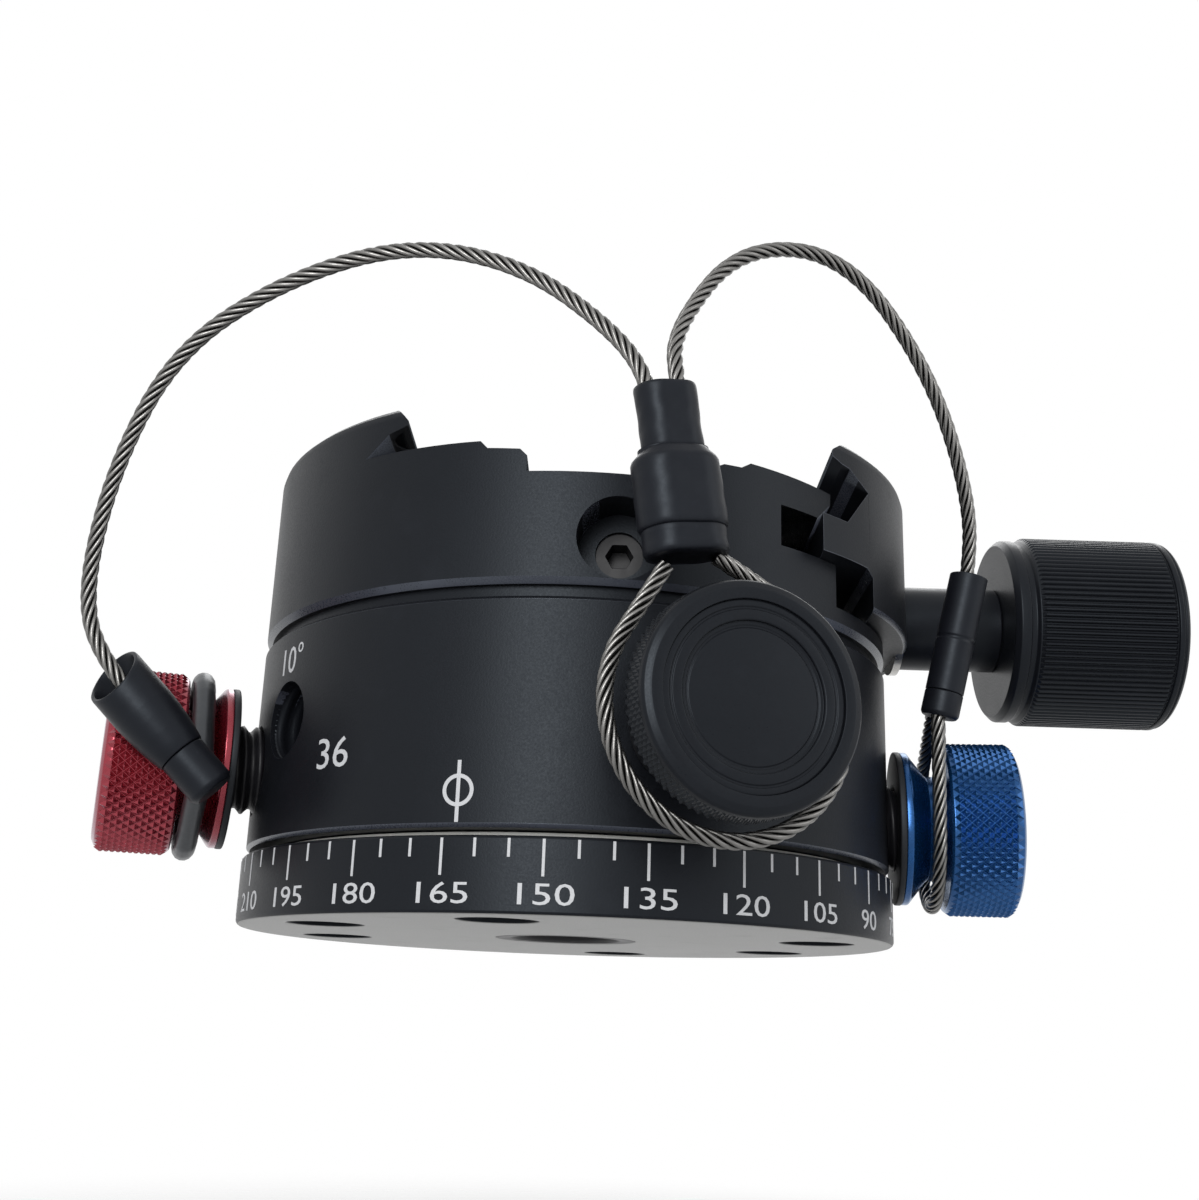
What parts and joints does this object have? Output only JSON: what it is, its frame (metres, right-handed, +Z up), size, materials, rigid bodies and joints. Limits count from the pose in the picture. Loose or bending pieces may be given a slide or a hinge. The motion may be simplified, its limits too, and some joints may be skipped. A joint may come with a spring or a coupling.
{
  "type": "panoramic tripod head",
  "caption": "Indexing panoramic rotator with a degree scale, lock knob, two tethered index plungers and a screw clamp with a dovetail channel on top.",
  "frame": {"origin": "middle of the base's underside, at the mouth of the tripod thread", "axes": "+Z up along the head's turning axis, +X along the clamp knob's screw, +Y along the clamp's channel"},
  "size_m": [0.1, 0.0717, 0.0572],
  "materials": {
    "black_anodised": "satin black anodised, fine bead-blasted",
    "red_anodised": "glossy red anodised, knurled",
    "blue_anodised": "glossy blue anodised, knurled",
    "steel": "bright machined steel",
    "black_steel": "black oxide, threaded",
    "brass": "machined brass",
    "pale_plastic": "natural sliding plastic",
    "black_plastic": "black washer plastic",
    "shrink_sleeve": "black heat-shrink tube",
    "wire_rope": "twisted stainless wire rope",
    "black_rope": "wire rope in a black sleeve"
  },
  "bodies": {
    "base": {"base_ring": "black_anodised", "tripod_bush": "steel", "glide_preload_screws": "steel", "index_drum": "black_anodised", "drum_dowels": "steel", "glide_washer": "pale_plastic", "upper_race": "steel", "bearing_balls": "steel", "ball_cage": "brass", "retaining_cap": "black_anodised", "cap_screws": "steel"},
    "pan": {"rotor_body": "black_anodised", "lower_race": "steel", "clamp_base": "black_anodised", "clamp_screws": "steel", "clamp_grub_screw": "steel", "guide_pins": "steel", "jaw_springs": "steel", "lock_washer": "black_plastic", "tether_loop": "wire_rope", "main_ferrule": "shrink_sleeve", "main_sleeve_upper": "shrink_sleeve", "main_sleeve_lower": "shrink_sleeve", "main_sleeve_collar": "shrink_sleeve", "red_cable": "wire_rope", "blue_cable": "wire_rope"},
    "lock_slide": {"lock_pad": "brass"},
    "lock_screw": {"lock_knob": "black_anodised", "lock_knob_cap": "black_anodised", "lock_stud": "steel"},
    "jaw": {"moving_jaw": "black_anodised", "clamp_washer": "steel"},
    "clamp_screw": {"clamp_knob": "black_anodised", "clamp_knob_cap": "black_anodised", "clamp_spacer": "black_anodised", "clamp_stud": "steel"},
    "red_carrier": {"red_loop": "black_rope", "red_ferrule": "shrink_sleeve", "red_sleeve": "shrink_sleeve"},
    "red_plunger": {"red_knob": "red_anodised", "red_barrel": "black_steel", "red_washer": "black_plastic", "red_stop_screw": "steel", "red_spring": "steel"},
    "red_pin": {"red_nose": "steel"},
    "blue_carrier": {"blue_loop": "wire_rope", "blue_ferrule": "shrink_sleeve", "blue_sleeve": "shrink_sleeve"},
    "blue_plunger": {"blue_knob": "blue_anodised", "blue_barrel": "black_steel", "blue_washer": "black_plastic", "blue_stop_screw": "steel", "blue_spring": "steel"},
    "blue_pin": {"blue_nose": "steel"}
  },
  "joints": [
    {"name": "pan_turn", "type": "hinge", "parent": "base", "child": "pan", "pos_m": [0, 0, 0], "axis": [0, 0, 1], "continuous": true},
    {"name": "lock_advance", "type": "slide", "parent": "pan", "child": "lock_slide", "axis": [0.3272, -0.9449, 0], "range_m": [-0.0002, 0.0028]},
    {"name": "lock_turn", "type": "hinge", "parent": "lock_slide", "child": "lock_screw", "pos_m": [0.01224, -0.03534, 0.0148], "axis": [0.3272, -0.9449, 0], "range_deg": [-72, 1008]},
    {"name": "jaw_slide", "type": "slide", "parent": "pan", "child": "jaw", "axis": [1, 0, 0], "range_m": [-0.002, 0.001], "deforming": ["jaw_springs"]},
    {"name": "clamp_turn", "type": "hinge", "parent": "jaw", "child": "clamp_screw", "pos_m": [0.0411, 0, 0.0312], "axis": [1, 0, 0], "range_deg": [-900, 450]},
    {"name": "red_advance", "type": "slide", "parent": "pan", "child": "red_carrier", "axis": [-0.9426, -0.3338, 0], "range_m": [-0.0016, 0]},
    {"name": "red_turn", "type": "hinge", "parent": "red_carrier", "child": "red_plunger", "pos_m": [-0.03007, -0.01065, 0.0132], "axis": [-0.9426, -0.3338, 0], "range_deg": [-460.8, 0]},
    {"name": "red_nose_slide", "type": "slide", "parent": "red_plunger", "child": "red_pin", "axis": [-0.9426, -0.3338, 0], "range_m": [0, 0.001], "stiffness_N_per_m": 500, "springref_m": -0.001, "deforming": ["red_spring"]},
    {"name": "blue_advance", "type": "slide", "parent": "pan", "child": "blue_carrier", "axis": [0.9951, -0.0993, 0], "range_m": [0, 0.0016]},
    {"name": "blue_turn", "type": "hinge", "parent": "blue_carrier", "child": "blue_plunger", "pos_m": [0.03015, -0.00301, 0.01095], "axis": [0.9951, -0.0993, 0], "range_deg": [0, 460.8]},
    {"name": "blue_nose_slide", "type": "slide", "parent": "blue_plunger", "child": "blue_pin", "axis": [0.9951, -0.0993, 0], "range_m": [0, 0.001], "stiffness_N_per_m": 500, "springref_m": -0.001, "deforming": ["blue_spring"]}
  ],
  "couplings": [
    {"joint": "lock_turn", "follows": "lock_advance", "rad_per_m": 6283.2},
    {"joint": "clamp_turn", "follows": "jaw_slide", "rad_per_m": 7854},
    {"joint": "red_turn", "follows": "red_advance", "rad_per_m": 5026.5},
    {"joint": "blue_turn", "follows": "blue_advance", "rad_per_m": 5026.5}
  ]
}
